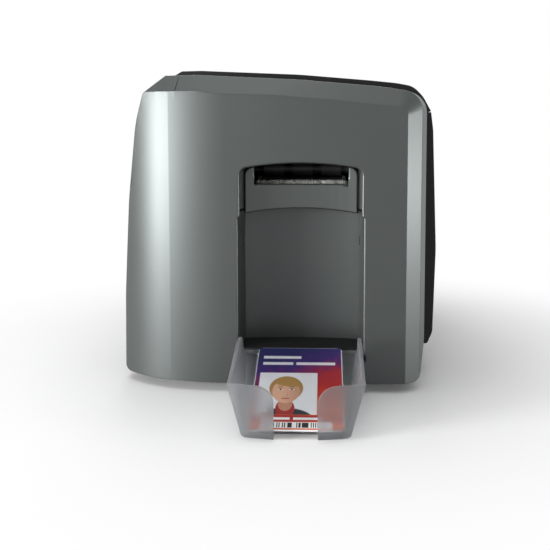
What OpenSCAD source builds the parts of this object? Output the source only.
// Desktop card printer with an open output hopper at one end.
// Millimetres, +Z up. The front faces -Y and the output end faces -X.
// The origin is on the table, under the middle of the whole printer with its hopper.

/* [Body] */
// Width of the body between its two end faces
body_w = 350; // [348:1:366]
// Depth of the body, from the front bulge to the back
body_d = 217.8; // [216:0.2:224]
// Height of the body, from the table to the top of the cover
body_h = 214.4; // [213:0.2:222]
// Height of the case above the table
foot_h = 6; // [5:0.5:7]
// Length of each end cap along the body
cap_l = 52; // [51:0.5:56]
// Height of the black cover over the end caps
cover_rise = 2; // [1:0.2:3]
// How far the case swells out below its rear shoulder
swell = 4.2; // [3:0.2:5]
// Wall of the moulded covers
wall = 2.6; // [2.2:0.1:3]
// Seam between neighbouring covers
seam = 0.4; // [0.3:0.1:0.6]

/* [End face] */
// How far the end caps stand behind the front bulge
cap_setback = 11.4; // [10:0.2:13]
// Width of the bevel along the front of an end face
bevel_front = 14.4; // [11:0.2:16]
// Width of the bevel along the top of an end face
bevel_top = 10.6; // [8:0.2:12]
// Depth of the bevel round an end face
bevel_deep = 8; // [6:0.5:10]
// Width of the narrow flat between the front bevel and the side
edge_w = 4.2; // [2:0.2:5]
// Depth of the narrow flat
edge_deep = 12; // [8:0.5:16]
// Radius of the crown of an end face, seen from above
crown_r = 1500; // [1000:50:2400]
// Radius of the haunch behind the crown
haunch_r = 160; // [150:5:200]
// Radius of the rear corner of an end cap
rear_r = 76; // [73:1:84]

/* [Output recess] */
// Width of the recess at the face
recess_w = 82; // [81:0.1:85]
// Depth of the recess into the face
recess_deep = 34; // [30:0.5:35]
// Height of the recess floor
recess_floor = 28; // [27:0.5:30]
// How far the arch under the exit panel stands below the card path
recess_drop = 19.3; // [17:0.1:21]
// Width of the window over the recess
window_w = 79.4; // [78:0.1:80.4]
// Height of the crown of the window over the card path
window_rise = 11.1; // [10:0.1:14]
// Radius of the arches over the window and the recess
arch_r = 215; // [190:5:260]
// Corner radius of the window
window_r = 5.5; // [3:0.5:8]
// Depth of the exit panel behind the face at its edges
panel_deep = 12; // [10:0.5:14]
// Radius of the hollow of the exit panel, seen from above
panel_r = 182; // [160:2:240]
// Width of the card slot in the exit panel
slot_w = 62.4; // [60:0.1:64]

/* [Card] */
// Length of a card
card_l = 85.6; // [85:0.1:86]
// Width of a card
card_w = 54; // [53.5:0.1:54.5]
// Thickness of a card
card_t = 0.76; // [0.5:0.02:0.84]
// Corner radius of a card
card_r = 3.18; // [2.9:0.02:3.5]

/* [Output hopper] */
// Reach of the hopper in front of the end face
hopper_out = 90; // [89:0.5:94]
// Width of the hopper at its rim
hopper_w = 77.6; // [76:0.2:79]
// Width of the hopper at its bottom
hopper_base_w = 60.6; // [60:0.2:64]
// Height of the underside of the hopper at its front
hopper_low = 1.6; // [1.2:0.1:2.6]
// Height of the rim of the hopper at its front
hopper_rim = 31.3; // [30:0.1:33]
// Height of the two ears of the hopper
hopper_ear = 41.2; // [39:0.2:43]
// Wall of the hopper
hopper_wall = 2; // [1.6:0.1:2.4]
// Radius of the bowed front of the hopper, seen from above
hopper_bow_r = 110; // [100:1:130]
// Width of the finger notch in the front of the hopper
notch_w = 24.4; // [22:0.2:28]

/* [Card path] */
// Distance of the card path in front of the middle of the body
path_offset = 14.4; // [13:0.1:16]
// Depth of the card path below the top of the body
path_drop = 74.4; // [73.4:0.1:74.8]
// Clear width between the two chassis plates
chassis_gap = 76; // [75.6:0.1:77]
// Thickness of the chassis plates
plate_t = 1.6; // [1.2:0.1:2]
// Radius of the driven rollers
roller_r = 6; // [5.6:0.1:6.4]
// Radius of the roller shafts
shaft_r = 3; // [2.6:0.1:3.2]
// Radius of the pinch rollers
pinch_r = 5; // [4.6:0.1:5.2]
// Running clearance of a shaft in its bush, on the radius
run_fit = 0.05; // [0.03:0.01:0.08]
// Radius on which the drive belt lies
belt_r = 8; // [7.8:0.1:8.4]
// Thickness of the drive belt
belt_t = 1; // [0.8:0.1:1.2]
// Width of the drive belt
belt_w = 5.4; // [5:0.1:6]
// Side of the square drive motor
motor_w = 42; // [40:0.5:43]

/* [Ribbon] */
// Height of the two ribbon spools over the card path
spool_rise = 35; // [34:0.5:36]
// Radius of the film on the supply spool
supply_r = 14; // [11:0.5:14.5]
// Radius of the film on the take-up spool
takeup_r = 11; // [10:0.2:11.4]
// Radius of the journals of the spools
journal_r = 4; // [3.6:0.1:4.4]
// Teeth of the take-up gear
gear_teeth = 32; // [30:1:34]
// Teeth of the ribbon motor pinion
pinion_teeth = 12; // [12:1:13]

/* [Input] */
// Height of the top of the input magazine over the card path
magazine_rise = 48; // [44:0.5:49]
// Width of the input door
door_w = 72; // [68:0.5:76]
// Height of the input door
door_h = 62; // [58:0.5:64]

/* [Cover hinge] */
// Radius of the hinge pins
pin_r = 2; // [1.8:0.1:2.2]
// Radius of the hinge knuckles
knuckle_r = 4.2; // [4:0.1:4.4]
// Height of the seam between cover and front panel, below the top of the body
seam_drop = 29; // [27:0.2:31]

/* [Hidden] */
$fn = 48;
cut = 1;             // how far a cutting tool runs past what it cuts
air = 0.3;           // gap between flat moving neighbours
y_front = -body_d / 2;
y_rear = body_d / 2;
y_back = y_rear - swell;      // back of the case at its shoulder
case_h = body_h - cover_rise;
path_h = body_h - path_drop;  // underside of a card in the path
recess_crown = path_h - recess_drop;
window_crown = path_h + window_rise;
spool_h = path_h + spool_rise;
magazine_top = path_h + magazine_rise;
hopper_reach = hopper_out - hopper_bow_r + sqrt(hopper_bow_r * hopper_bow_r - notch_w * notch_w / 4);
x_out = (hopper_reach - body_w) / 2;
x_in = x_out + body_w;
x_mid0 = x_out + cap_l;
x_mid1 = x_in - cap_l;
path_y = -path_offset;

// ---- Outlines -------------------------------------------------------------------------------

function unit(v) = v / norm(v);
function flat(p) = [p[0], p[1]];
function before(list, i) = list[(i + len(list) - 1) % len(list)];
function after(list, i) = list[(i + 1) % len(list)];
function turn_of(a, b) = a[0] * b[1] - a[1] * b[0];

// One corner [x, y, radius] of an outline, as the points of its arc
function corner(p, c, n, steps) =
    c[2] == 0 ? [flat(c)] :
    let (
        u = unit(flat(p) - flat(c)),
        v = unit(flat(n) - flat(c)),
        open = acos(u * v),
        mid = flat(c) + unit(u + v) * c[2] / sin(open / 2),
        arm = flat(c) + u * c[2] / tan(open / 2) - mid,
        start = atan2(arm[1], arm[0]),
        sweep = (180 - open) * (turn_of(u, v) > 0 ? -1 : 1)
    )
    [for (i = [0:steps]) mid + c[2] * [cos(start + sweep * i / steps), sin(start + sweep * i / steps)]];

// An outline of corners [x, y, radius] as plain points
function rounded(pts, steps = 6) =
    [for (i = [0:len(pts) - 1]) each corner(before(pts, i), pts[i], after(pts, i), steps)];

function inward(a, b) = let (e = unit(flat(b) - flat(a))) [-e[1], e[0]];

// The outline of corners moved inward by d, for an outline that runs anticlockwise
function inset(pts, d) =
    [for (i = [0:len(pts) - 1])
        let (
            n1 = inward(before(pts, i), pts[i]),
            n2 = inward(pts[i], after(pts, i)),
            bulge = turn_of(n1, n2) >= 0 ? 1 : -1,
            p = flat(pts[i]) + d * (n1 + n2) / (1 + n1 * n2)
        )
        [p[0], p[1], pts[i][2] == 0 ? 0 : max(pts[i][2] - d * bulge, 0.2)]];

// Points of a flat arch from -half to half, crowned at the given height
function arch(half, crown, r, steps = 8) =
    [for (i = [0:steps])
        let (a = asin(half / r) * (1 - 2 * i / steps))
        [r * sin(a), crown - r * (1 - cos(a))]];

function shift(pts, v) = [for (p = pts) [p[0] + v[0], p[1] + v[1], len(p) > 2 ? p[2] : 0]];
function plain(pts) = [for (p = pts) flat(p)];

module along_x(x0, x1) translate([x0, 0, 0]) rotate([90, 0, 90]) linear_extrude(x1 - x0) children();
module along_y(y0, y1) translate([0, y1, 0]) rotate([90, 0, 0]) linear_extrude(y1 - y0) children();
module along_z(z0, z1) translate([0, 0, z0]) linear_extrude(z1 - z0) children();
module box(a, b) translate(a) cube([b[0] - a[0], b[1] - a[1], b[2] - a[2]]);
module rod_y(x, y0, y1, z, r) translate([x, y0, z]) rotate([-90, 0, 0]) cylinder(h = y1 - y0, r = r);
module rod_x(x0, x1, y, z, r) translate([x0, y, z]) rotate([0, 90, 0]) cylinder(h = x1 - x0, r = r);
module rod_z(x, y, z0, z1, r) translate([x, y, z0]) cylinder(h = z1 - z0, r = r);

// ---- End caps -------------------------------------------------------------------------------

rim = 12;            // width of the flange inside the open side of a cap
haunch_y = y_back - 70.4;
corner_y = y_rear - 41.4;

// Outline of an end cap across the body, drawn in by the bevels along its front and its top
function cap_outline(front, top) =
    let (f = y_front + cap_setback + front, tuck = front > 0 ? 0 : 4)
    [
        [f + tuck, foot_h, front > 0 ? 0 : 6],
        [y_rear, foot_h, 4],
        [y_rear - 0.9, 60, 200],
        [y_rear - 5.4, 125, 200],
        [y_rear - 12.2, case_h - 34.4, 90],
        [y_rear - 18.2, case_h - 15.8, 2],
        [y_rear - 33.4 + 1.3 * top, case_h - 4.1 - top, 3],
        [y_back - 51, case_h - 4.1 - top, 120],
        [y_back - 118, case_h - 7.4 - 1.06 * top, 150],
        [y_front + 42.8, case_h - 11.9 - 1.11 * top, 100],
        [f, case_h - 16.5 + 0.147 * front - 1.14 * top, front > edge_w ? 5 : 14],
        [f, 30, front > 0 ? 0 : 40]
    ];

// Depth behind the crown of the face, as angles of three blending arcs seen from above
crown_a = asin((haunch_y - path_y) / crown_r);
haunch_a = asin(sin(crown_a) + (corner_y - haunch_y) / haunch_r);
rear_a = asin(sin(haunch_a) + (y_rear - corner_y) / rear_r);
front_a = asin((path_y - y_front) / crown_r);
haunch_s = crown_r * (1 - cos(crown_a));
corner_s = haunch_s + haunch_r * (cos(crown_a) - cos(haunch_a));

function blend_arc(s, y, a0, a1, r, steps) =
    [for (i = [0:steps])
        let (a = a0 + (a1 - a0) * i / steps)
        [s + r * (cos(a0) - cos(a)), y + r * (sin(a) - sin(a0))]];

function arc_middle(s, y, a0, r) = [s + r * cos(a0), y - r * sin(a0)];

// Plan of an end cap: the crowned face, the haunch and the rear corner; x counts inward
function face_plan(skin) =
    let (
        face = concat(
            blend_arc(crown_r * (1 - cos(front_a)), y_front, -front_a, crown_a, crown_r, 8),
            blend_arc(haunch_s, haunch_y, crown_a, haunch_a, haunch_r, 5),
            blend_arc(corner_s, corner_y, haunch_a, rear_a, rear_r - skin, 10)
        )
    )
    concat([for (p = face) [p[0] + skin, p[1]]], [[cap_l + cut, y_rear], [cap_l + cut, y_front]]);

// Depth of the crowned face behind its apex, at a distance across the body
function crown_s(y) = crown_r * (1 - cos(asin((y - path_y) / crown_r)));

// Cuts one flat, facing angle a: through a point f at depth s, and o at the further depth deep
module bevel_flat(s, deep, f, o, a, skin) {
    rise = (o - f) * [cos(a), sin(a)] / deep;
    lift = skin * sqrt(1 + rise * rise);
    translate([s, f[0], f[1]]) rotate([a - 90, 0, 0])
        along_y(-body_d, body_d) polygon([
            [-cap_l, -cap_l * rise - lift],
            [cap_l, cap_l * rise - lift],
            [cap_l, body_h],
            [-cap_l, body_h]
        ]);
}

function facing(a, b) = atan2(a[0] - b[0], b[1] - a[1]);
function middle(a, b) = (flat(a) + flat(b)) / 2;
function fillet_mid(list, i) =
    let (
        u = unit(flat(before(list, i)) - flat(list[i])),
        v = unit(flat(after(list, i)) - flat(list[i]))
    )
    flat(list[i]) + unit(u + v) * list[i][2] / sin(acos(u * v) / 2);

top_edges = [6:9];   // edges of the cap outline along the top
front_corner = 10;   // its corner between the top and the front

// Cuts the wide bevel from f to e, and the narrow flat from there to o
module front_flats(f, e, o, a, skin) {
    s = crown_s(f[0]);
    bevel_flat(s, bevel_deep, f, e, a, skin);
    bevel_flat(s + bevel_deep, edge_deep, e, o, a, skin);
}

// Cuts the top bevel round an arc of the plan, which it follows at one height
module bevel_turn(mid, a0, a1, r, skin) {
    slope = bevel_deep / bevel_top;
    low = case_h - 4.1 - bevel_top - 3 * skin;
    rise = body_h - low;
    foot = r + 3 * skin * slope - skin * sqrt(1 + slope * slope);
    far = 2 * r;
    translate([mid[0], mid[1], low]) difference() {
        linear_extrude(rise) polygon(concat([[0, 0]], [for (a = [a0, (a0 + a1) / 2, a1])
            far * [-cos(a), sin(a)]]));
        translate([0, 0, -cut])
            cylinder(h = rise + 2 * cut, r1 = foot + cut * slope, r2 = foot - (rise + cut) * slope);
    }
}

module bevel_cuts(skin) {
    outer = cap_outline(0, 0);
    edge = cap_outline(edge_w, 0);
    inner = cap_outline(bevel_front, bevel_top);
    top_a = facing(outer[front_corner - 1], outer[front_corner]);
    front_a = facing(outer[front_corner], outer[front_corner + 1]);
    for (i = top_edges) {
        f = middle(inner[i], inner[i + 1]);
        bevel_flat(crown_s(f[0]), bevel_deep, f, middle(outer[i], outer[i + 1]),
            facing(outer[i], outer[i + 1]), skin);
    }
    front_flats(middle(inner[front_corner], inner[front_corner + 1]),
        middle(edge[front_corner], edge[front_corner + 1]),
        middle(outer[front_corner], outer[front_corner + 1]), front_a, skin);
    for (t = [1:7]) {
        a = top_a + t / 8 * (front_a - top_a);
        n = [cos(a), sin(a)];
        front_flats(fillet_mid(inner, front_corner) + n * inner[front_corner][2],
            fillet_mid(edge, front_corner) + n * edge[front_corner][2],
            fillet_mid(outer, front_corner) + n * outer[front_corner][2], a, skin);
    }
    // the wider arc's cut runs on a little, so that no skin is left between the two
    bevel_turn(arc_middle(haunch_s, haunch_y, crown_a, haunch_r), crown_a, haunch_a + 2, haunch_r, skin);
    bevel_turn(arc_middle(corner_s, corner_y, haunch_a, rear_r), haunch_a, 90, rear_r, skin);
}

module cap_form(skin) {
    difference() {
        intersection() {
            along_x(skin, skin > 0 ? cap_l + cut : cap_l) polygon(rounded(inset(cap_outline(0, 0), skin)));
            along_z(0, body_h) polygon(face_plan(skin));
        }
        bevel_cuts(skin);
    }
}

// The bucket-shaped moulding that both caps share, open toward the middle of the body
module cap_shell() {
    difference() {
        cap_form(0);
        cap_form(wall);
    }
    difference() {
        along_x(cap_l - wall, cap_l) polygon(rounded(inset(cap_outline(0, 0), wall / 2)));
        along_x(cap_l - wall - cut, cap_l + cut) polygon(rounded(inset(cap_outline(0, 0), rim)));
        box([0, y_front, 0], [cap_l + cut, y_rear, pan_top + 12]);
    }
}

// ---- Output end -----------------------------------------------------------------------------

recess_draft = 4.1;
recess_bow = 4;      // how much deeper the middle of the recess is than its sides
pocket_deep = 24;    // depth of the pocket behind the window
panel_t = 2.4;
slit_low = recess_crown - 25.7;
panel_w = window_w - 4.4;
sill_h = path_h - 3; // lower edge of the card slot
hook_y = 25;         // hopper hooks, to either side of the card path
hook_h = 15;
hook_w = 4;
hook_t = 4;
hook_fit = 0.3;

function recess_half(s) = recess_w / 2 - s * tan(recess_draft);

// Plan of the recess, grown outward by skin
function recess_plan(skin) =
    let (
        side = recess_deep - recess_bow,
        half = recess_half(side) + skin,
        bow_r = (half * half + recess_bow * recess_bow) / (2 * recess_bow)
    )
    concat(
        [[-cut, recess_half(-cut) + skin]],
        [for (i = [0:8])
            let (a = asin(half / bow_r) * (1 - i / 4))
            [side + skin + bow_r * (cos(a) - cos(asin(half / bow_r))), bow_r * sin(a)]],
        [[-cut, -recess_half(-cut) - skin]]
    );

function recess_front(skin) =
    let (
        half = recess_w / 2 + 0.1 + skin,
        edge = recess_crown + skin - arch_r * (1 - cos(asin(half / arch_r)))
    )
    rounded(concat(
        [[-half, recess_floor - skin, 0], [half, recess_floor - skin, 0], [half, edge, 4]],
        [for (p = arch(half - 8, recess_crown + skin, arch_r)) [p[0], p[1], 0]],
        [[-half, edge, 4]]
    ));

module recess_form(skin) {
    translate([0, path_y, 0]) intersection() {
        along_z(0, body_h) polygon(recess_plan(skin));
        along_x(-cut, recess_deep + 2 * skin) polygon(recess_front(skin));
    }
}

// Front view of the window above the given height
function window_front(half, low, crown) =
    let (edge = crown - arch_r * (1 - cos(asin(half / arch_r))))
    rounded(concat(
        [[-half, low, 0], [half, low, 0], [half, edge, window_r]],
        [for (p = arch(half - 2 * window_r, crown, arch_r)) [p[0], p[1], 0]],
        [[-half, edge, window_r]]
    ));

// Points across the hollow exit panel, from one side to the other, at a depth at its edges
function hollow(half, edge, steps = 12) =
    let (a1 = asin(half / panel_r))
    [for (i = [0:steps])
        let (a = a1 * (1 - 2 * i / steps))
        [edge + panel_r * (cos(a) - cos(a1)), panel_r * sin(a)]];

module window_form() {
    low = recess_crown - 12;
    half = panel_w / 2;
    translate([0, path_y, 0]) {
        intersection() {
            along_x(-cut, pocket_deep) polygon(window_front(window_w / 2, low, window_crown));
            along_z(low - cut, body_h) polygon(concat(
                [[-cut, window_w / 2 + cut]],
                hollow(half, panel_deep + panel_t + 0.05),
                [[-cut, -window_w / 2 - cut]]
            ));
        }
        // pocket behind the panel, over the ceiling of the recess
        difference() {
            along_x(panel_deep, pocket_deep + wall + cut)
                polygon(window_front(half, recess_crown, window_crown));
            along_x(panel_deep - cut, pocket_deep + wall + 2 * cut) polygon(concat(
                [[-half - cut, 0], [half + cut, 0]],
                arch(half + cut, recess_crown + wall, arch_r)
            ));
        }
    }
}

module exit_pocket_walls() {
    translate([0, path_y, 0]) intersection() {
        along_x(0, pocket_deep)
            polygon(window_front(window_w / 2 + wall, recess_crown, window_crown + wall));
        along_z(0, body_h) square([2 * pocket_deep, window_w + 2 * wall], center = true);
    }
}

module output_end_cap() color([0.62, 0.64, 0.63]) translate([x_out, 0, 0]) {
    difference() {
        union() {
            cap_shell();
            intersection() {
                cap_form(0);
                union() {
                    recess_form(wall);
                    exit_pocket_walls();
                }
            }
        }
        recess_form(0);
        window_form();
        for (p = case_screw_places()) rod_z(p[0] - x_out, p[1], 0, pan_top, screw_r);
        for (side = [-1, 1]) {
            // slits in the inner corners of the recess
            translate([0, path_y + side * recess_half(recess_deep - recess_bow), 0])
                box([recess_deep - recess_bow - 7.5, -3, slit_low], [recess_deep - recess_bow, 3, slit_low + 6]);
            // small moulding slots below the recess
            translate([0, path_y + side * 41, 0]) box([-cut, -1, 21.3], [wall + cut + 1, 1, 25.3]);
            // slots for the hooks of the hopper
            translate([0, path_y + side * hook_y, 0])
                box([-cut, -hook_w / 2 - hook_fit, hook_h - hook_fit],
                    [wall + cut + 1, hook_w / 2 + hook_fit, hook_h + hook_t + hook_fit]);
        }
    }
}

// Hollow panel that closes the window and frames the card slot
module card_exit_panel() color([0.58, 0.6, 0.59]) translate([x_out, path_y, 0]) {
    half = panel_w / 2 - 0.1;
    top = window_crown + 1;
    difference() {
        intersection() {
            along_z(recess_crown - 8, top) polygon(concat(
                hollow(half, panel_deep),
                [for (i = [0:12]) hollow(half, panel_deep + panel_t)[12 - i]]
            ));
            along_x(0, pocket_deep) polygon(concat(
                [[half, top], [-half, top]],
                [for (p = arch(half, recess_crown + 0.05, arch_r)) [-p[0], p[1]]]
            ));
            along_x(0, pocket_deep)
                polygon(window_front(half, recess_crown - 9, window_crown - 0.2));
        }
        box([0, -slot_w / 2, sill_h], [pocket_deep, slot_w / 2, top + cut]);
    }
}

// Brush that takes the static off each card, one tuft beside the other
tuft_w = 1.6;

module exit_brush() translate([x_out, path_y, 0]) {
    back = panel_deep + panel_r * (1 - cos(asin(panel_w / 2 / panel_r))) + panel_t + 0.2;
    tufts = floor((slot_w - 2) / (1.5 * tuft_w));
    color("dimgray") box([back, -slot_w / 2 + 1, sill_h - 8], [back + 3, slot_w / 2 - 1, sill_h - 1]);
    color("gainsboro") for (i = [0:tufts - 1])
        translate([0, (i - (tufts - 1) / 2) * 1.5 * tuft_w, 0])
            box([back + 0.8, -tuft_w / 2, sill_h - 1], [back + 2.2, tuft_w / 2, path_h - 0.4]);
}

// Dark plate on the floor of the recess
module recess_floor_plate() color([0.1, 0.1, 0.11]) translate([x_out, path_y, 0]) {
    intersection() {
        along_z(recess_floor, recess_floor + 1.2) polygon(recess_plan(-0.1));
        box([wall, -recess_w, 0], [recess_deep + cut, recess_w, body_h]);
    }
}

// ---- Base -----------------------------------------------------------------------------------

pan_low = foot_h + wall;
pan_t = 2.4;
pan_top = pan_low + pan_t;
skirt_top = pan_top + 9.6;   // where the front and rear panels stand on the pan
pan_back = y_rear - 4;
foot_r = 9;
stem_r = 4;          // stem that holds each foot in the pan
foot_x = 22;         // feet, in from the ends of the middle section
foot_y = 24;         // feet, in from the front and the back
boss_r = 3.6;
screw_r = 1.5;

function foot_places() =
    [for (x = [x_mid0 + foot_x, x_mid1 - foot_x], y = [y_front + foot_y, y_rear - foot_y]) [x, y]];
function case_screw_places() =
    [for (x = [x_out + 38, x_in - 38], y = [y_front + 34, y_rear - 34]) [x, y]];

module base_pan() color([0.16, 0.16, 0.17]) {
    f = y_front + cap_setback;
    difference() {
        union() {
            box([x_out + 16, f + wall + 8, pan_low], [x_in - 16, y_rear - 28, pan_top]);
            box([x_mid0 - 4, f + wall + 8, pan_low], [x_mid1 + 4, pan_back - wall - 10, pan_top]);
            box([x_mid0 + seam, f, pan_low], [x_mid1 - seam, pan_back, pan_top]);
            // skirts that carry the front and rear panels
            box([x_mid0 + seam, f, pan_low], [x_mid1 - seam, f + wall, skirt_top]);
            box([x_mid0 + seam, pan_back - wall, pan_low], [x_mid1 - seam, pan_back, skirt_top]);
            for (p = board_posts()) rod_z(p[0], p[1], pan_low, board_h, boss_r);
        }
        for (p = foot_places()) rod_z(p[0], p[1], 0, pan_top - 1, stem_r + run_fit);
        for (p = case_screw_places()) rod_z(p[0], p[1], 0, body_h, screw_r);
        for (p = chassis_screw_places()) rod_z(p[0], p[1], 0, pan_top + cut, screw_r);
        // cooling slots in the floor
        for (i = [0:5]) box([x_mid0 + 60 + 14 * i, y_rear - 70, 0], [x_mid0 + 64 + 14 * i, y_rear - 40, 30]);
    }
}

module feet() color([0.09, 0.09, 0.09]) for (p = foot_places()) {
    rod_z(p[0], p[1], 0, 2, foot_r - 1);
    rod_z(p[0], p[1], 1, pan_low, foot_r);
    rod_z(p[0], p[1], pan_low - 1, pan_top - 1, stem_r);
}

module case_screws() color("silver") for (p = case_screw_places()) {
    rod_z(p[0], p[1], foot_h - 1.4, foot_h, 2.8);
    rod_z(p[0], p[1], foot_h - 1, pan_top + 4, screw_r);
}

// ---- Front panel, rear panel and top cover ---------------------------------------------------

seam_h = body_h - seam_drop;   // top edge of the front panel
tray = 14;                     // depth of the returned edges of the front and rear panels
hinge_y = y_back - 34.4;
hinge_h = case_h - 11.4;
bed_h = hinge_h - 6.4;         // top of the bed under the hinge
knuckle_l = 14;
knuckle_x = 30;                // hinges, in from the ends of the middle section
ear_l = 6;
belly_h = 88.8;                // height at which the front panel bulges most
front_lean = 3;                // how far the front panel leans back above it
button_r = 6;
button_fit = 0.3;
button_h = seam_h - 22.4;
power_x = x_mid1 - 24;
pause_x = x_mid1 - 46;
lamp_x = x_mid1 - 35;

function front_outline() = [
    [y_front + 5.4, skirt_top, 2],
    [y_front + tray, skirt_top, 0],
    [y_front + tray, seam_h, 0],
    [y_front + 4.6, seam_h, 0],
    [y_front + front_lean, seam_h - 12.4, 40],
    [y_front, belly_h, 150],
    [y_front + 1.7, 29, 12]
];

// A moulded panel: the outline across the body, hollow, open on one side and closed at its ends
module tray_shell(outline, open_side, x0, x1) {
    difference() {
        along_x(x0, x1) polygon(rounded(outline));
        along_x(x0 + wall, x1 - wall) polygon(rounded(inset(outline, wall)));
        along_x(x0 + wall, x1 - wall) polygon(rounded(shift(inset(outline, wall), open_side)));
        along_x(x0 + wall, x1 - wall) polygon(rounded(shift(inset(outline, wall), open_side / 2)));
    }
}

module front_panel() color([0.14, 0.14, 0.15]) {
    difference() {
        tray_shell(front_outline(), [2 * wall, 0], x_mid0 + seam, x_mid1 - seam);
        for (x = [power_x, pause_x])
            rod_y(x, y_front - cut, y_front + wall + 4, button_h, button_r + button_fit);
        rod_y(lamp_x, y_front - cut, y_front + wall + 4, button_h, lamp_r + 0.1);
    }
    // posts that carry the button board
    for (x = [pause_x - 12, power_x + 12])
        rod_y(x, y_front + wall, button_board_y, button_h, boss_r);
}

function rear_outline() = [
    [y_rear - tray - 7, skirt_top, 0],
    [y_rear - 2.5, skirt_top, 1],
    [y_rear - 2.9, 60, 150],
    [y_rear - 7.4, 125, 150],
    [y_rear - 14.2, case_h - 34.4, 60],
    [y_rear - 20.2, case_h - 16.8, 6],
    [y_back - 19, hinge_h + 1.6, 1.5],
    [y_back - 21, hinge_h + 1.6, 0.6],
    [y_back - 21, bed_h, 0],
    [y_back - 46, bed_h, 0],
    [y_back - 46, bed_h - 5, 0],
    [y_back - 24, bed_h - 5, 0],
    [y_rear - tray - 7, bed_h - 22, 0]
];

function hinge_places() = [x_mid0 + knuckle_x, x_mid1 - knuckle_x];

module rear_panel() color([0.2, 0.2, 0.21]) {
    x0 = x_mid0 + seam;
    x1 = x_mid1 - seam;
    difference() {
        along_x(x0, x1) polygon(rounded(rear_outline()));
        // hollow inside the back wall
        along_x(x0 + wall, x1 - wall) polygon([
            [y_rear - tray - 8, skirt_top + wall],
            [y_rear - 2.6 - wall, skirt_top + wall],
            [y_rear - 2.9 - wall, 60],
            [y_rear - 7.6 - wall, 125],
            [y_rear - 14.4 - wall, case_h - 35],
            [y_rear - 18.9 - wall, case_h - 22],
            [y_back - 24, bed_h - wall],
            [y_back - 26, bed_h - wall],
            [y_back - 26, bed_h - 6],
            [y_rear - tray - 8, bed_h - 24]
        ]);
        // louvres
        for (i = [0:11], k = [0:2]) let (z = seam_h - 75.4 + 22 * k)
            box([x_mid0 + 60 + 12 * i, y_rear - 30, z], [x_mid0 + 64 + 12 * i, y_rear + cut, z + 14]);
        inlet_cut();
        usb_cut();
    }
    for (hx = hinge_places(), side = [-1, 1])
        translate([hx + side * (knuckle_l / 2 + air + ear_l / 2), 0, 0]) difference() {
            union() {
                rod_x(-ear_l / 2, ear_l / 2, hinge_y, hinge_h, knuckle_r);
                box([-ear_l / 2, hinge_y - knuckle_r, bed_h - 0.5], [ear_l / 2, hinge_y + knuckle_r, hinge_h]);
            }
            rod_x(-ear_l, ear_l, hinge_y, hinge_h, pin_r);
        }
}

function cover_outline() = [
    [y_front + 4.6, seam_h + seam, 0],
    [y_back - 27.6, case_h - 6.4, 0],
    [y_back - 27.6, body_h - 4, 1],
    [y_back - 34, body_h - 0.3, 3],
    [y_back - 48, body_h, 0],
    [y_front + 96.5, body_h - 2.8, 300],
    [y_front + 47.6, body_h - 6.9, 200],
    [y_front + 29.7, body_h - 8.7, 60],
    [y_front + 17.5, body_h - 10.9, 14],
    [y_front + 10.3, body_h - 18.1, 24]
];

// The hollow of the cover, open downward
function cover_inside() =
    let (p = inset(cover_outline(), wall), drop = [0, -10 * wall, 0])
    concat([p[0] + drop, p[1] + drop], [for (i = [2:len(p) - 1]) p[i]], [[p[0][0], p[0][1], 0]]);

module top_cover() color([0.12, 0.12, 0.13]) {
    x0 = x_mid0 + seam;
    x1 = x_mid1 - seam;
    difference() {
        along_x(x0, x1) polygon(rounded(cover_outline()));
        along_x(x0 + wall, x1 - wall) polygon(rounded(cover_inside()));
    }
    // posts that carry the print head's carrier
    for (p = carrier_posts()) intersection() {
        along_x(x0, x1) polygon(rounded(inset(cover_outline(), wall / 2)));
        rod_z(p[0], p[1], carrier_h + carrier_t, body_h, boss_r);
    }
    for (hx = hinge_places()) difference() {
        union() {
            rod_x(hx - knuckle_l / 2, hx + knuckle_l / 2, hinge_y, hinge_h, knuckle_r);
            box([hx - knuckle_l / 2, hinge_y - knuckle_r, hinge_h],
                [hx + knuckle_l / 2, hinge_y + 2, body_h - 2.5]);
        }
        rod_x(hx - knuckle_l, hx + knuckle_l, hinge_y, hinge_h, pin_r + run_fit);
    }
}

module hinge_pins() color("silver") for (hx = hinge_places()) {
    half = knuckle_l / 2 + air + ear_l;
    rod_x(hx - half, hx + half, hinge_y, hinge_h, pin_r);
}

// ---- Output hopper and card ------------------------------------------------------------------

// These modules are drawn with x counting outward from the end face
module outward() translate([x_out, path_y, 0]) mirror([1, 0, 0]) children();

hopper_floor_t = 1.6;
hopper_back = 29;                // rim of the low back wall
hopper_back_low = 11;            // underside of the back wall
floor_back = hopper_back - 2.2;  // the floor slopes from here down to the front
floor_end = hopper_out - 6;
floor_slope = (floor_back - hopper_low - hopper_floor_t) / (floor_end - hopper_wall);
side_slope = (hopper_w - hopper_base_w) / 2 / (hopper_rim - hopper_low);
card_gap = 0.15;
card_top_u = 1.2;                // upper edge of the card, in front of the face
card_tilt = asin((hopper_back + 0.4 - floor_h(card_l * 0.955)) / card_l);

function floor_h(u) = floor_back - floor_slope * (u - hopper_wall);
function hopper_half(z) = hopper_base_w / 2 + side_slope * (z - hopper_low);

// Cross-section of the hopper, its walls flared below the rim and upright above it
function hopper_section(skin, low, high) = rounded([
    [skin - hopper_half(low), low, skin == 0 ? 3 : 1],
    [hopper_half(low) - skin, low, skin == 0 ? 3 : 1],
    [hopper_half(hopper_rim) - skin, hopper_rim, 8],
    [hopper_half(hopper_rim) - skin + 0.2, high, 0],
    [skin - 0.2 - hopper_half(hopper_rim), high, 0],
    [skin - hopper_half(hopper_rim), hopper_rim, 8]
]);

function hopper_plan(skin) =
    let (r = hopper_bow_r - skin, out = hopper_out - skin)
    concat(
        [[air + skin, -hopper_w], [air + skin, hopper_w], [hopper_out - 30, hopper_w]],
        [for (i = [0:16]) let (a = 27 * (1 - i / 8)) [out - r + r * cos(a), r * sin(a)]],
        [[hopper_out - 30, -hopper_w]]
    );

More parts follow.
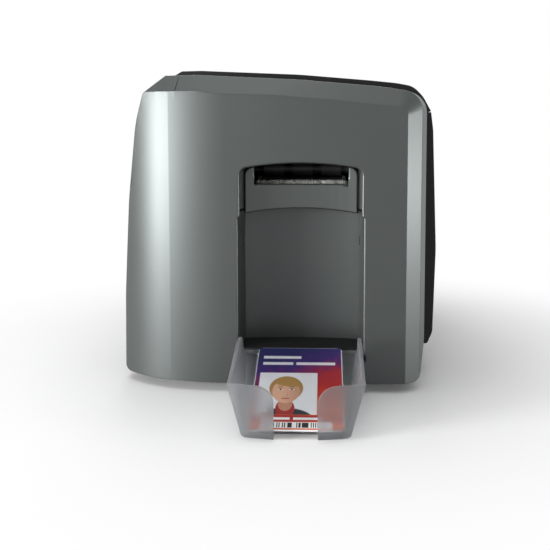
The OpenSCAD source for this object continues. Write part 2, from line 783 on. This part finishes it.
function hopper_profile() = rounded([
    [air, hopper_back_low, 1],
    [hopper_out - 10, hopper_low, 20],
    [hopper_out + cut, hopper_low, 0],
    [hopper_out + cut, hopper_rim, 0],
    [hopper_out - 16, hopper_rim + 0.4, 14],
    [28, hopper_ear, 14],
    [11, hopper_ear, 12],
    [air + hopper_wall + 1.5, hopper_back + 0.3, 4],
    [air, hopper_back, 0]
]);

module output_hopper() color([0.62, 0.64, 0.66, 0.6]) outward() {
    notch = notch_w / 2;
    difference() {
        intersection() {
            along_x(0, hopper_out) polygon(hopper_section(0, hopper_low, hopper_ear + 2));
            along_z(0, body_h) polygon(hopper_plan(0));
            along_y(-hopper_w, hopper_w) polygon(hopper_profile());
        }
        // tray above the sloping floor
        intersection() {
            along_x(0, hopper_out) polygon(hopper_section(hopper_wall, hopper_low, body_h));
            along_z(0, body_h) polygon(hopper_plan(hopper_wall));
            along_y(-hopper_w, hopper_w) polygon([
                [0, floor_h(0)],
                [floor_end, floor_h(floor_end)],
                [hopper_out, floor_h(floor_end)],
                [hopper_out, body_h],
                [0, body_h]
            ]);
        }
        // hollow under the floor
        intersection() {
            along_x(0, hopper_out) polygon(hopper_section(hopper_wall, -10, body_h));
            along_z(-20, body_h) polygon(hopper_plan(hopper_wall));
            along_y(-hopper_w, hopper_w) polygon([
                [0, -20],
                [0, floor_h(0) - hopper_floor_t],
                [floor_end - 8, floor_h(floor_end - 8) - hopper_floor_t],
                [floor_end - 8, -20]
            ]);
        }
        // finger notch through the front wall and the lip of the floor
        along_x(hopper_out - 10, hopper_out + cut) polygon(rounded([
            [-notch, -5, 0],
            [notch, -5, 0],
            [notch, hopper_rim, 10],
            [notch + 12, hopper_rim, 0],
            [notch + 12, hopper_ear, 0],
            [-notch - 12, hopper_ear, 0],
            [-notch - 12, hopper_rim, 0],
            [-notch, hopper_rim, 10]
        ], 8));
    }
    for (side = [-1, 1])
        translate([0, side * hook_y, 0])
            box([-wall - 4, -hook_w / 2, hook_h], [air + 0.5, hook_w / 2, hook_h + hook_t]);
}

// A finished card lying in the hopper, its upper edge on the back wall
module printed_card() color([0.85, 0.2, 0.25]) outward() {
    translate([card_top_u, 0, hopper_back + card_gap + 0.6]) rotate([0, card_tilt, 0])
        along_z(0, card_t) polygon(rounded([
            [0, -card_w / 2, card_r],
            [card_l, -card_w / 2, card_r],
            [card_l, card_w / 2, card_r],
            [0, card_w / 2, card_r]
        ]));
}

// ---- Chassis ----------------------------------------------------------------------------------

plate0 = path_y - chassis_gap / 2;   // inner face of the front plate
plate1 = path_y + chassis_gap / 2;   // inner face of the rear plate
plate_x0 = x_out + 40;
plate_x1 = x_in - 29;
plate_top = path_h + 12;
head_low = path_h + 9;               // dip in the plates that the print head swings over
bush_r = 5;
exit_x = x_out + 51;
transfer_x = x_out + 113;
platen_x = x_out + 171;
transport_x = x_out + 226;
feed_x = x_in - 82;
motor_x = platen_x - 10;
motor_h = 75;
roller_h = path_h - roller_r;
pinch_h = path_h + card_t + 0.1 + pinch_r;
supply_x = platen_x + 35;
takeup_x = platen_x - 35;
ear_top = spool_h + 12;
gear_r = gear_teeth / 2;             // pitch radii of module 1 gears
pinion_r = pinion_teeth / 2;
ribbon_motor_x = takeup_x - gear_r - pinion_r - 0.2;
flange_w = 12;                       // foot of each plate, screwed to the pan

function roller_places() = [exit_x, transfer_x, platen_x, transport_x, feed_x];
function pinch_places() = [exit_x, transfer_x, transport_x];
function chassis_screw_places() =
    [for (x = [plate_x0 + 20, motor_x - 50, motor_x + 50, plate_x1 - 20], y = [plate0 - flange_w / 2,
        plate1 + flange_w / 2]) [x, y]];

function plate_outline() = [
    [plate_x0, pan_top, 0],
    [plate_x1, pan_top, 0],
    [plate_x1, plate_top, 5],
    [supply_x + 15, plate_top, 5],
    [supply_x + 11, ear_top, 6],
    [supply_x - 11, ear_top, 6],
    [supply_x - 13, head_low, 5],
    [takeup_x + 13, head_low, 5],
    [takeup_x + 11, ear_top, 6],
    [ribbon_motor_x - 13, ear_top, 6],
    [ribbon_motor_x - 17, plate_top, 5],
    [plate_x0, plate_top, 5]
];

// Plate between two depths y0 and y1, with its foot turned to the side away from the path
module chassis_plate(y0, y1, side) {
    difference() {
        along_y(y0, y1) polygon(rounded(plate_outline()));
        for (x = roller_places()) rod_y(x, y0 - cut, y1 + cut, roller_h, bush_r);
        for (x = pinch_places())
            rod_y(x, y0 - cut, y1 + cut, x == transport_x ? pinch_h + 1 : pinch_h, 2 + run_fit);
        for (x = [supply_x, takeup_x]) {
            rod_y(x, y0 - cut, y1 + cut, spool_h, journal_r + run_fit);
            box([x - journal_r - run_fit, y0 - cut, spool_h],
                [x + journal_r + run_fit, y1 + cut, ear_top + cut]);
        }
        // windows that lighten the plate
        along_y(y0 - cut, y1 + cut) for (x = [plate_x0 + 16, motor_x - 58, motor_x + 34, motor_x + 84])
            polygon(rounded([
                [x, pan_top + 18, 5],
                [x + 34, pan_top + 18, 5],
                [x + 34, roller_h - 26, 5],
                [x, roller_h - 26, 5]
            ]));
    }
    difference() {
        box([plate_x0 + 6, min(side * flange_w, 0) + (side < 0 ? y1 : y0), pan_top],
            [plate_x1 - 12, max(side * flange_w, 0) + (side < 0 ? y1 : y0), pan_top + plate_t]);
        for (p = chassis_screw_places()) rod_z(p[0], p[1], 0, pan_top + 10, screw_r);
    }
}

module chassis_front_plate() color("lightsteelblue") chassis_plate(plate0 - plate_t, plate0, -1);

module chassis_rear_plate() color("lightsteelblue") difference() {
    chassis_plate(plate1, plate1 + plate_t, 1);
    rod_y(motor_x, plate1 - cut, plate1 + plate_t + cut, motor_h, 11.1);
    rod_y(ribbon_motor_x, plate1 - cut, plate1 + plate_t + cut, spool_h, 3.4);
    for (sx = [-1, 1], sz = [-1, 1])
        rod_y(motor_x + sx * 15.5, plate1 - cut, plate1 + plate_t + cut, motor_h + sz * 15.5, screw_r);
}

module chassis_screws() color("silver") {
    for (p = chassis_screw_places()) {
        rod_z(p[0], p[1], pan_low, pan_top + plate_t, screw_r);
        rod_z(p[0], p[1], pan_top + plate_t, pan_top + plate_t + 1.8, 2.8);
    }
    for (sx = [-1, 1], sz = [-1, 1]) {
        rod_y(motor_x + sx * 15.5, plate1, plate1 + plate_t, motor_h + sz * 15.5, screw_r);
        rod_y(motor_x + sx * 15.5, plate1 + plate_t, plate1 + plate_t + 1.8, motor_h + sz * 15.5, 2.8);
    }
}

// Bed that carries the cards between the rollers
module card_guide() color([0.25, 0.25, 0.27]) {
    x0 = x_out + panel_deep + 16;
    x1 = feed_x - 14;
    difference() {
        union() {
            box([plate_x0, plate0 + 0.05, path_h - 2.6], [x1, plate1 - 0.05, path_h - 0.6]);
            box([x0, path_y - card_w / 2 - 2, path_h - 2.6], [plate_x0 + 1, path_y + card_w / 2 + 2, path_h - 0.6]);
            // rails that lie along both edges of the cards
            for (side = [-1, 1])
                box([x0, path_y + side * (card_w / 2 + 1.5) - 1, path_h - 2.6],
                    [x1, path_y + side * (card_w / 2 + 1.5) + 1, path_h + 1.6]);
        }
        for (x = [exit_x, transfer_x, platen_x, transport_x])
            box([x - roller_r - 1.2, path_y - card_w / 2 - 3, 0], [x + roller_r + 1.2, path_y + card_w / 2 + 3, body_h]);
    }
}

module roller_bushes() color("goldenrod") for (x = roller_places(), side = [-1, 1]) {
    y0 = side < 0 ? plate0 - plate_t : plate1;
    difference() {
        union() {
            rod_y(x, y0, y0 + plate_t, roller_h, bush_r);
            rod_y(x, side < 0 ? y0 - 1.2 : y0 + plate_t, side < 0 ? y0 : y0 + plate_t + 1.2, roller_h, bush_r + 1.5);
        }
        rod_y(x, y0 - 4, y0 + plate_t + 4, roller_h, shaft_r + run_fit);
    }
}

// ---- Rollers and drive ------------------------------------------------------------------------

pulley_y = plate1 + plate_t + 1.8;   // front of the pulleys
pulley_flange = 1;
pulley_w = belt_w + 0.6 + 2 * pulley_flange;
belt_y = pulley_y + pulley_flange + 0.3;
collar_y = plate0 - plate_t - 1.2 - air;   // collars that keep the shafts from moving rearward
sleeve_w = 56;

module pulley(x, h) {
    teeth = 20;
    tip = belt_r - air;
    for (y = [pulley_y, pulley_y + pulley_w - pulley_flange])
        rod_y(x, y, y + pulley_flange, h, belt_r + 1.5);
    along_y(pulley_y, pulley_y + pulley_w) translate([x, h]) polygon([
        for (i = [0:teeth - 1], e = [[-0.27, tip], [0.27, tip], [0.32, tip - 0.9], [0.68, tip - 0.9]])
            e[1] * [cos(360 * (i + e[0]) / teeth), sin(360 * (i + e[0]) / teeth)]
    ]);
}

module driven_roller(x, bands) {
    gap = 4;
    band_w = (sleeve_w - gap * (bands - 1)) / bands;
    rod_y(x, collar_y - 2, pulley_y + 1, roller_h, shaft_r);
    rod_y(x, collar_y - 1.5, collar_y, roller_h, shaft_r + 1.6);
    rod_y(x, path_y - sleeve_w / 2 - 1, path_y + sleeve_w / 2 + 1, roller_h, shaft_r + 0.8);
    for (i = [0:bands - 1]) {
        y0 = path_y - sleeve_w / 2 + i * (band_w + gap);
        rod_y(x, y0, y0 + band_w, roller_h, roller_r);
    }
    pulley(x, roller_h);
}

module exit_roller() color("dimgray") driven_roller(exit_x, 3);
module transfer_roller() color("dimgray") driven_roller(transfer_x, 3);
module platen_roller() color([0.2, 0.2, 0.2]) driven_roller(platen_x, 1);
module transport_roller() color("dimgray") driven_roller(transport_x, 1);
module feed_roller() color("darkslategray") driven_roller(feed_x, 2);

module free_roller(x, h, r, bands) {
    gap = 6;
    band_w = (sleeve_w - 2 - gap * (bands - 1)) / bands;
    rod_y(x, plate0 - plate_t - 1, plate1 + plate_t + 1, h, 2);
    rod_y(x, plate0 + air, plate1 - air, h, 3);
    for (i = [0:bands - 1]) {
        y0 = path_y - sleeve_w / 2 + 1 + i * (band_w + gap);
        rod_y(x, y0, y0 + band_w, h, r);
    }
}

module exit_pinch_roller() color("gray") free_roller(exit_x, pinch_h, pinch_r, 3);
module transfer_pinch_roller() color("gray") free_roller(transfer_x, pinch_h, pinch_r, 3);
module cleaning_roller() color("lightblue") free_roller(transport_x, pinch_h + 1, pinch_r + 1, 1);

module drive_belt() color([0.13, 0.13, 0.13]) {
    run = [[exit_x, roller_h, 0.01], [motor_x, motor_h, 0.01], [feed_x, roller_h, 0.01]];
    along_y(belt_y, belt_y + belt_w) difference() {
        polygon(rounded(inset(run, -belt_r - belt_t), 12));
        polygon(rounded(inset(run, -belt_r), 12));
    }
}

module motor_block(y0, y1, half, chamfer) {
    along_y(y0, y1) translate([motor_x, motor_h]) polygon([
        for (q = [0:3], e = [[half, chamfer - half], [half, half - chamfer]])
            [e[0] * cos(90 * q) - e[1] * sin(90 * q), e[0] * sin(90 * q) + e[1] * cos(90 * q)]
    ]);
}

module drive_motor() color([0.3, 0.3, 0.32]) difference() {
    union() {
        motor_block(plate1 - 7, plate1, motor_w / 2, 4);
        motor_block(plate1 - 29, plate1 - 7, motor_w / 2 - 0.6, 6);
        motor_block(plate1 - 36, plate1 - 29, motor_w / 2, 4);
        rod_y(motor_x, plate1 - 1, plate1 + plate_t, motor_h, 11);
    }
    rod_y(motor_x, plate1 - 20, plate1 + plate_t + cut, motor_h, 2.5 + run_fit);
}

module motor_pulley() color("silver") {
    rod_y(motor_x, plate1 - 19, pulley_y + pulley_w + 2, motor_h, 2.5);
    pulley(motor_x, motor_h);
}

// ---- Ribbon -----------------------------------------------------------------------------------

core_r = 8;
film_w = 54;
film_gap = 0.45;
gear_y = plate1 + plate_t + 1;
gear_w = 5;
web_h = path_h + 1;

module spool(x, flange_r) {
    rod_y(x, plate0 - plate_t - 2, plate1 + plate_t + 2, spool_h, journal_r);
    rod_y(x, plate0 + air, plate1 - air, spool_h, journal_r + 1.2);
    rod_y(x, path_y - film_w / 2 - 2, path_y + film_w / 2 + 2, spool_h, core_r);
    for (side = [-1, 1]) {
        y = path_y + side * (film_w / 2 + 1.3);
        rod_y(x, y - 0.6, y + 0.6, spool_h, flange_r);
    }
    rod_y(x, plate0 - plate_t - 2, plate0 - plate_t - air, spool_h, journal_r + 1.5);
}

module film_roll(x, r) {
    difference() {
        rod_y(x, path_y - film_w / 2, path_y + film_w / 2, spool_h, r);
        rod_y(x, path_y - film_w, path_y + film_w, spool_h, core_r + run_fit);
    }
}

// Spur gear of module 1 in the x-z plane, with a tooth at the start angle
module spur(x, h, y0, y1, teeth, start) {
    along_y(y0, y1) translate([x, h]) polygon([
        for (i = [0:teeth - 1], e = [[-0.29, -1.2], [-0.11, 0.85], [0.11, 0.85], [0.29, -1.2]])
            let (a = start + 360 * (i + e[0]) / teeth)
            (teeth / 2 + e[1]) * [cos(a), sin(a)]
    ]);
}

module supply_spool() color("ivory") spool(supply_x, supply_r + 1.5);
module supply_film() color([0.75, 0.2, 0.5]) film_roll(supply_x, supply_r);

module takeup_spool() color("ivory") {
    spool(takeup_x, takeup_r + 1.5);
    spur(takeup_x, spool_h, gear_y, gear_y + gear_w, gear_teeth, 180);
    rod_y(takeup_x, plate1 + plate_t + air, gear_y + gear_w + 1, spool_h, journal_r + 2);
}
module takeup_film() color([0.35, 0.3, 0.4]) film_roll(takeup_x, takeup_r);

// Film between the spools, led under the print head
module ribbon_web() color([0.85, 0.75, 0.2]) {
    film_t = 0.3;
    s = supply_x - supply_r - film_gap;
    t = takeup_x + takeup_r + film_gap;
    u = platen_x + 16;
    v = platen_x - 16;
    along_y(path_y - film_w / 2 + 0.5, path_y + film_w / 2 - 0.5) polygon([
        [s, spool_h],
        [s - film_t, spool_h],
        [u - film_t, web_h + film_t],
        [v + film_t, web_h + film_t],
        [t + film_t, spool_h],
        [t, spool_h],
        [v, web_h],
        [u, web_h]
    ]);
}

module ribbon_motor() color([0.35, 0.35, 0.37]) difference() {
    union() {
        rod_y(ribbon_motor_x, plate1 - 24, plate1, spool_h, 9);
        rod_y(ribbon_motor_x, plate1 - 26, plate1 - 24, spool_h, 4);
        rod_y(ribbon_motor_x, plate1 - 1, plate1 + plate_t, spool_h, 3.3);
    }
    rod_y(ribbon_motor_x, plate1 - 12, plate1 + plate_t + cut, spool_h, 1.5 + run_fit);
}

module ribbon_pinion() color("goldenrod") {
    spur(ribbon_motor_x, spool_h, gear_y, gear_y + gear_w, pinion_teeth, 180 / pinion_teeth);
    rod_y(ribbon_motor_x, plate1 - 11, gear_y + gear_w + 1, spool_h, 1.5);
}

// ---- Print head -------------------------------------------------------------------------------

head_half = 29;                  // half the length of the print head, across the cards
head_bottom = web_h + 1.2;
head_pivot_h = path_h + 30;
carrier_h = case_h - 12;         // underside of the carrier plate
carrier_t = 2.4;
lug_half = 4;
spring_y = 20;
spring_foot = head_bottom + 20;

function carrier_posts() = [for (x = [platen_x - 9, platen_x + 9], y = [path_y - 20, path_y + 20]) [x, y]];

module head_carrier() color("gainsboro") {
    box([platen_x - 13, path_y - 28, carrier_h], [platen_x + 13, path_y + 28, carrier_h + carrier_t]);
    for (side = [-1, 1]) {
        // cheeks of the clevis, and arms that press on the springs
        x = platen_x + side * (lug_half + air + 1.5);
        along_x(x - 1.5, x + 1.5) translate([path_y, 0]) polygon(rounded([
            [-7, head_pivot_h - 5, 4],
            [7, head_pivot_h - 5, 4],
            [14, carrier_h + 1, 0],
            [-14, carrier_h + 1, 0]
        ]));
        rod_z(platen_x, path_y + side * spring_y, spring_foot + 1.5, carrier_h + 1, 2);
        rod_z(platen_x, path_y + side * spring_y, spring_foot + 12, carrier_h + 1, 4.2);
    }
    rod_x(platen_x - lug_half - 3, platen_x + lug_half + 3, path_y, head_pivot_h, 2);
}

module head_springs() color("silver") for (side = [-1, 1])
    translate([platen_x, path_y + side * spring_y, 0]) {
        turns = 6;
        wire_r = 0.6;
        pitch = (12 - 1 - 2 * wire_r) / (turns - 1);
        for (i = [0:turns - 1])
            translate([0, 0, spring_foot + 1 + wire_r + i * pitch])
                rotate_extrude() translate([2.9, 0]) circle(r = wire_r, $fn = 16);
        difference() {
            translate([0, 0, spring_foot + 1]) cylinder(h = 11, r = 2.7);
            translate([0, 0, spring_foot]) cylinder(h = 13, r = 2.1);
        }
    }

module printhead() color("lightgray") {
    fin_h = head_bottom + 14;
    difference() {
        union() {
            along_y(path_y - head_half, path_y + head_half) translate([platen_x, 0]) polygon([
                [-2, head_bottom],
                [2, head_bottom],
                [10, head_bottom + 4],
                [10, fin_h],
                [-10, fin_h],
                [-10, head_bottom + 7]
            ]);
            for (i = [-3:3])
                box([platen_x + i * 3 - 0.6, path_y - head_half, fin_h - 1],
                    [platen_x + i * 3 + 0.6, path_y + head_half, fin_h + 5]);
            box([platen_x - lug_half, path_y - 5, fin_h - 1], [platen_x + lug_half, path_y + 5, head_pivot_h]);
            rod_x(platen_x - lug_half, platen_x + lug_half, path_y, head_pivot_h, 4.6);
            for (side = [-1, 1]) rod_z(platen_x, path_y + side * spring_y, fin_h - 1, spring_foot, 5);
        }
        rod_x(platen_x - 20, platen_x + 20, path_y, head_pivot_h, 2 + run_fit);
    }
}

// ---- Card input -------------------------------------------------------------------------------

tray_wall = 2;
tray_fit = 0.4;
tray_x1 = x_in - 7;
tray_x0 = tray_x1 - card_l - 2 * tray_fit;
tray_half = card_w / 2 + tray_fit;
tray_floor = path_h - 0.4;
guide_x = tray_x0 + 50;          // slot that guides the card pusher
guide_half = 4;
door_top = magazine_top + 4;
door_low = door_top - door_h;
barrel_r = 3.5;
barrel_s = 1.2 + barrel_r;       // depth of the door's hinge line behind the face
barrel_h = door_low + barrel_r;
door_pin_r = 1.6;

module input_magazine() color([0.2, 0.2, 0.22]) translate([0, path_y, 0]) difference() {
    union() {
        box([tray_x0 - tray_wall, -tray_half - tray_wall, tray_floor - 2], [tray_x1, tray_half + tray_wall, magazine_top]);
        for (side = [-1, 1])
            box([tray_x0, min(0, side * (chassis_gap / 2 + plate_t)), plate_top],
                [tray_x1 - 24, max(0, side * (chassis_gap / 2 + plate_t)), plate_top + 2]);
    }
    box([tray_x0, -tray_half, tray_floor], [tray_x1 - tray_wall + 0.4, tray_half, magazine_top + cut]);
    // gate that lets one card out at a time
    box([tray_x0 - tray_wall - cut, -tray_half, tray_floor], [tray_x0 + cut, tray_half, path_h + 1.6 * card_t]);
    // opening over the feed roller
    box([feed_x - roller_r - 1.2, -sleeve_w / 2 - 1, 0], [feed_x + roller_r + 1.2, sleeve_w / 2 + 1, path_h + 1]);
    // loading side
    box([tray_x0 + 30, -tray_half, path_h + 8], [tray_x1 + cut, tray_half, magazine_top + cut]);
    // guide slot of the pusher, and a thumb notch opposite
    box([guide_x - guide_half - air, 0, path_h + 1.2], [guide_x + guide_half + air, 2 * tray_half, magazine_top + cut]);
    along_y(-2 * tray_half, 0) polygon(rounded([
        [tray_x0 + 60, path_h + 24, 9],
        [tray_x1 + cut, path_h + 24, 0],
        [tray_x1 + cut, magazine_top + cut, 0],
        [tray_x0 + 60, magazine_top + cut, 0]
    ]));
}

// Weight that presses the stack of blank cards on the feed roller
module card_pusher() color([0.3, 0.3, 0.33]) translate([0, path_y, 0]) {
    low = path_h + 1.8;
    box([tray_x0 + 2, -tray_half + 2, low], [tray_x1 - 4, tray_half - 2, low + 3]);
    box([guide_x - guide_half, 0, low], [guide_x + guide_half, tray_half + tray_wall + 2, low + 3]);
    box([tray_x0 + 20, -12, low + 3], [tray_x0 + 42, 12, low + 9]);
    along_y(-9, 9) translate([tray_x1 - 16, 0]) polygon(rounded([
        [-8, low + 2, 0],
        [6, low + 2, 0],
        [3, low + 13, 2],
        [-1, low + 13, 2]
    ]));
}

module inward_from_input() translate([x_in, path_y, 0]) mirror([1, 0, 0]) children();

function door_front(half, low, top, r) = rounded([
    [-half, low, 0], [half, low, 0], [half, top, r], [-half, top, r]
]);

module input_end_cap() color([0.62, 0.64, 0.63]) {
    half = door_w / 2 + air;
    difference() {
        union() {
            translate([x_in, 0, 0]) mirror([1, 0, 0]) cap_shell();
            intersection() {
                translate([x_in, 0, 0]) mirror([1, 0, 0]) cap_form(0);
                inward_from_input() along_x(0, barrel_s + barrel_r + 1)
                    polygon(door_front(half + wall, door_low - air - wall, door_top + air + wall, 5));
            }
        }
        inward_from_input() {
            along_x(-cut, barrel_s + barrel_r + 2)
                polygon(door_front(half, door_low - air, door_top + air, 3.3));
            for (side = [-1, 1])
                translate([0, side * (half + wall / 2), 0])
                    rod_y(barrel_s, -wall, wall, barrel_h, door_pin_r);
        }
        for (p = case_screw_places()) rod_z(p[0], p[1], 0, pan_top, screw_r);
    }
}

module input_door() color([0.6, 0.62, 0.61]) inward_from_input() {
    half = door_w / 2;
    difference() {
        union() {
            along_x(barrel_s - barrel_r, barrel_s - barrel_r + wall)
                polygon(door_front(half, barrel_h, door_top, 3));
            rod_y(barrel_s, -half, half, barrel_h, barrel_r);
            // ribs inside the door
            for (y = [-half + 6, half - 6])
                box([barrel_s - barrel_r + wall - 0.2, y - 0.8, barrel_h], [barrel_s - barrel_r + wall + 1.2, y + 0.8, door_top - 8]);
        }
        for (side = [-1, 1]) rod_y(barrel_s, side * half - 7, side * half + 7, barrel_h, door_pin_r + run_fit);
        // finger notch at the top edge
        along_x(-cut, 10) polygon(rounded([
            [-14, door_top + 8, 0], [-14, door_top - 8, 7], [14, door_top - 8, 7], [14, door_top + 8, 0]
        ]));
    }
}

module door_pins() color("silver") inward_from_input() for (side = [-1, 1]) {
    inner = door_w / 2 - 6;
    outer = door_w / 2 + air + wall;
    rod_y(barrel_s, side > 0 ? inner : -outer, side > 0 ? outer : -inner, barrel_h, door_pin_r);
}

// ---- Electronics ------------------------------------------------------------------------------

board_h = skirt_top - 1.6;
board_x0 = x_mid0 + 18;
board_x1 = x_mid0 + 150;
board_y0 = plate1 + flange_w + 8;
board_y1 = y_rear - 22;
inlet_x = x_mid0 + 42;
usb_x = x_mid0 + 74;
socket_y = y_rear - 4;           // face of both sockets
socket_deep = 9.5;

function board_posts() =
    [for (x = [board_x0 + 5, board_x1 - 5], y = [board_y0 + 4, board_y1 - 4]) [x, y]];

module inlet_cut() box([inlet_x - 5.9, y_rear - 23, skirt_top - cut], [inlet_x + 5.9, y_rear + cut, skirt_top + 11.9]);
module usb_cut() box([usb_x - 6.9, y_rear - 23, skirt_top - cut], [usb_x + 6.9, y_rear + cut, skirt_top + 11.4]);

module main_board() color("darkgreen") {
    top = skirt_top;
    box([board_x0, board_y0, board_h], [board_x1, board_y1, top]);
    for (i = [0:2])
        box([board_x0 + 64 + 22 * i, board_y0 + 12, top - 0.1], [board_x0 + 78 + 22 * i, board_y0 + 26, top + 1.8]);
    for (i = [0:3]) rod_z(board_x0 + 14 + 11 * i, board_y0 + 9, top - 0.1, top + 12, 4);
    for (i = [0:4])
        box([board_x0 + 100 + 3 * i, board_y0 + 4, top - 0.1], [board_x0 + 101 + 3 * i, board_y0 + 10, top + 6]);
}

module power_inlet() color([0.1, 0.1, 0.1]) difference() {
    box([inlet_x - 5.5, board_y1 - 10, skirt_top], [inlet_x + 5.5, socket_y, skirt_top + 11.5]);
    rod_y(inlet_x, socket_y - socket_deep, y_rear, skirt_top + 6, 3.2);
}

module usb_socket() color("silver") difference() {
    box([usb_x - 6.5, board_y1 - 12, skirt_top], [usb_x + 6.5, socket_y, skirt_top + 11]);
    difference() {
        box([usb_x - 4.5, socket_y - socket_deep, skirt_top + 1.6], [usb_x + 4.5, y_rear, skirt_top + 9.6]);
        box([usb_x - 2.8, socket_y - socket_deep, skirt_top + 4], [usb_x + 2.8, socket_y - 1.5, skirt_top + 7.2]);
    }
}

button_board_y = y_front + wall + 9;
panel_face_y = y_front + front_lean * (button_h - belly_h) / (seam_h - 12.4 - belly_h);   // at the buttons
travel = 1.5;
lamp_r = 1.9;

module button_board() color("darkgreen") {
    box([pause_x - 16, button_board_y, button_h - 11], [power_x + 16, button_board_y + 1.6, button_h + 11]);
    for (x = [pause_x, power_x]) {
        box([x - 3, button_board_y - 1.6, button_h - 3], [x + 3, button_board_y + 0.1, button_h + 3]);
        rod_y(x, button_board_y - 2.4, button_board_y, button_h, 1.6);
    }
}

module push_button(x) {
    back = button_board_y - 2.4 - travel - 0.2;
    flange = panel_face_y + wall + 0.5;
    rod_y(x, panel_face_y - 0.7, flange + 1, button_h, button_r);
    rod_y(x, flange, flange + 1.2, button_h, button_r + 1.4);
    rod_y(x, flange, back, button_h, 2.4);
}

module power_button() color("silver") push_button(power_x);
module pause_button() color("silver") push_button(pause_x);
module status_lamp() color("palegreen") rod_y(lamp_x, panel_face_y - 0.2, button_board_y, button_h, lamp_r);

output_end_cap();
input_end_cap();
base_pan();
feet();
front_panel();
rear_panel();
top_cover();
hinge_pins();
card_exit_panel();
exit_brush();
recess_floor_plate();
output_hopper();
printed_card();
chassis_front_plate();
chassis_rear_plate();
card_guide();
roller_bushes();
exit_roller();
transfer_roller();
platen_roller();
transport_roller();
feed_roller();
exit_pinch_roller();
transfer_pinch_roller();
cleaning_roller();
drive_belt();
drive_motor();
motor_pulley();
supply_spool();
supply_film();
takeup_spool();
takeup_film();
ribbon_web();
ribbon_motor();
ribbon_pinion();
head_carrier();
printhead();
head_springs();
input_magazine();
card_pusher();
input_door();
door_pins();
main_board();
power_inlet();
usb_socket();
button_board();
power_button();
pause_button();
status_lamp();
case_screws();
chassis_screws();
